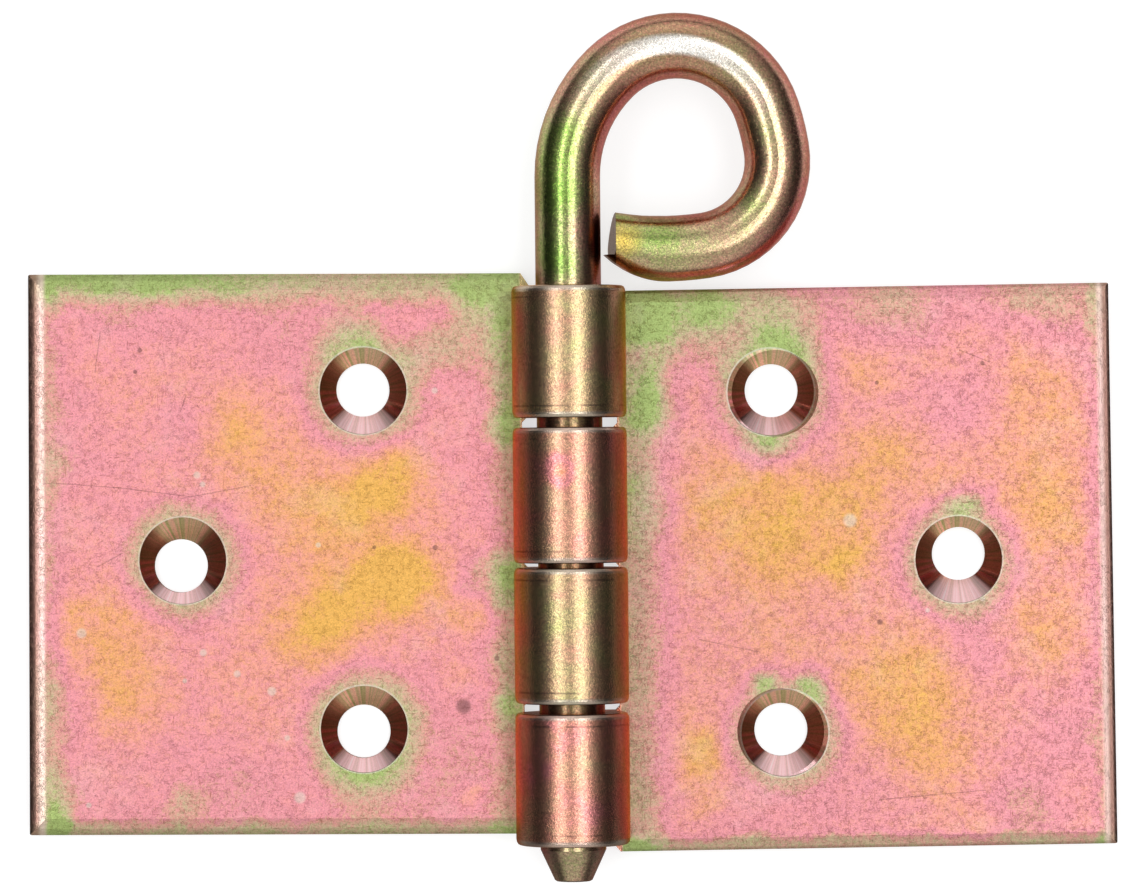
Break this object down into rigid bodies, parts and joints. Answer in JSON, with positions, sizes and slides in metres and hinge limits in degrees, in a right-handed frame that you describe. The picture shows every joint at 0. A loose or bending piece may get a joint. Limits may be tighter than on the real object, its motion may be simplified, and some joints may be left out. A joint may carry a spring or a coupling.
{
  "type": "loose pin hinge",
  "caption": "Flat butt hinge of pressed sheet with wide leaves, rolled knuckles, countersunk screw holes and a loose pin whose bent eye lets it be pulled out by hand.",
  "frame": {"origin": "under the middle of the whole hinge, from the top of the eye to the tip of the pin, on the plane of the leaves' backs and below the pin's axis", "axes": "+X across the open leaves towards the right leaf, +Y along the pin towards its eye, +Z out of the front faces, on the side of the barrel"},
  "size_m": [0.1164, 0.0922, 0.0122],
  "materials": {
    "leaf_steel": "yellow passivated zinc plate on pressed sheet, with pink, orange and green tints",
    "pin_steel": "yellow passivated zinc plate on drawn bar, brighter than the leaves"
  },
  "bodies": {
    "left_leaf": {"left_leaf": "leaf_steel"},
    "right_leaf": {"right_leaf": "leaf_steel"},
    "loose_pin": {"loose_pin": "pin_steel"}
  },
  "joints": [
    {"name": "right_leaf_swing", "type": "hinge", "parent": "left_leaf", "child": "right_leaf", "pos_m": [0, -0.01252, 0.00608], "axis": [0, -1, 0], "range_deg": [-65, 186]},
    {"name": "loose_pin_pull", "type": "slide", "parent": "left_leaf", "child": "loose_pin", "axis": [0, 1, 0], "range_m": [0, 0.066]}
  ]
}
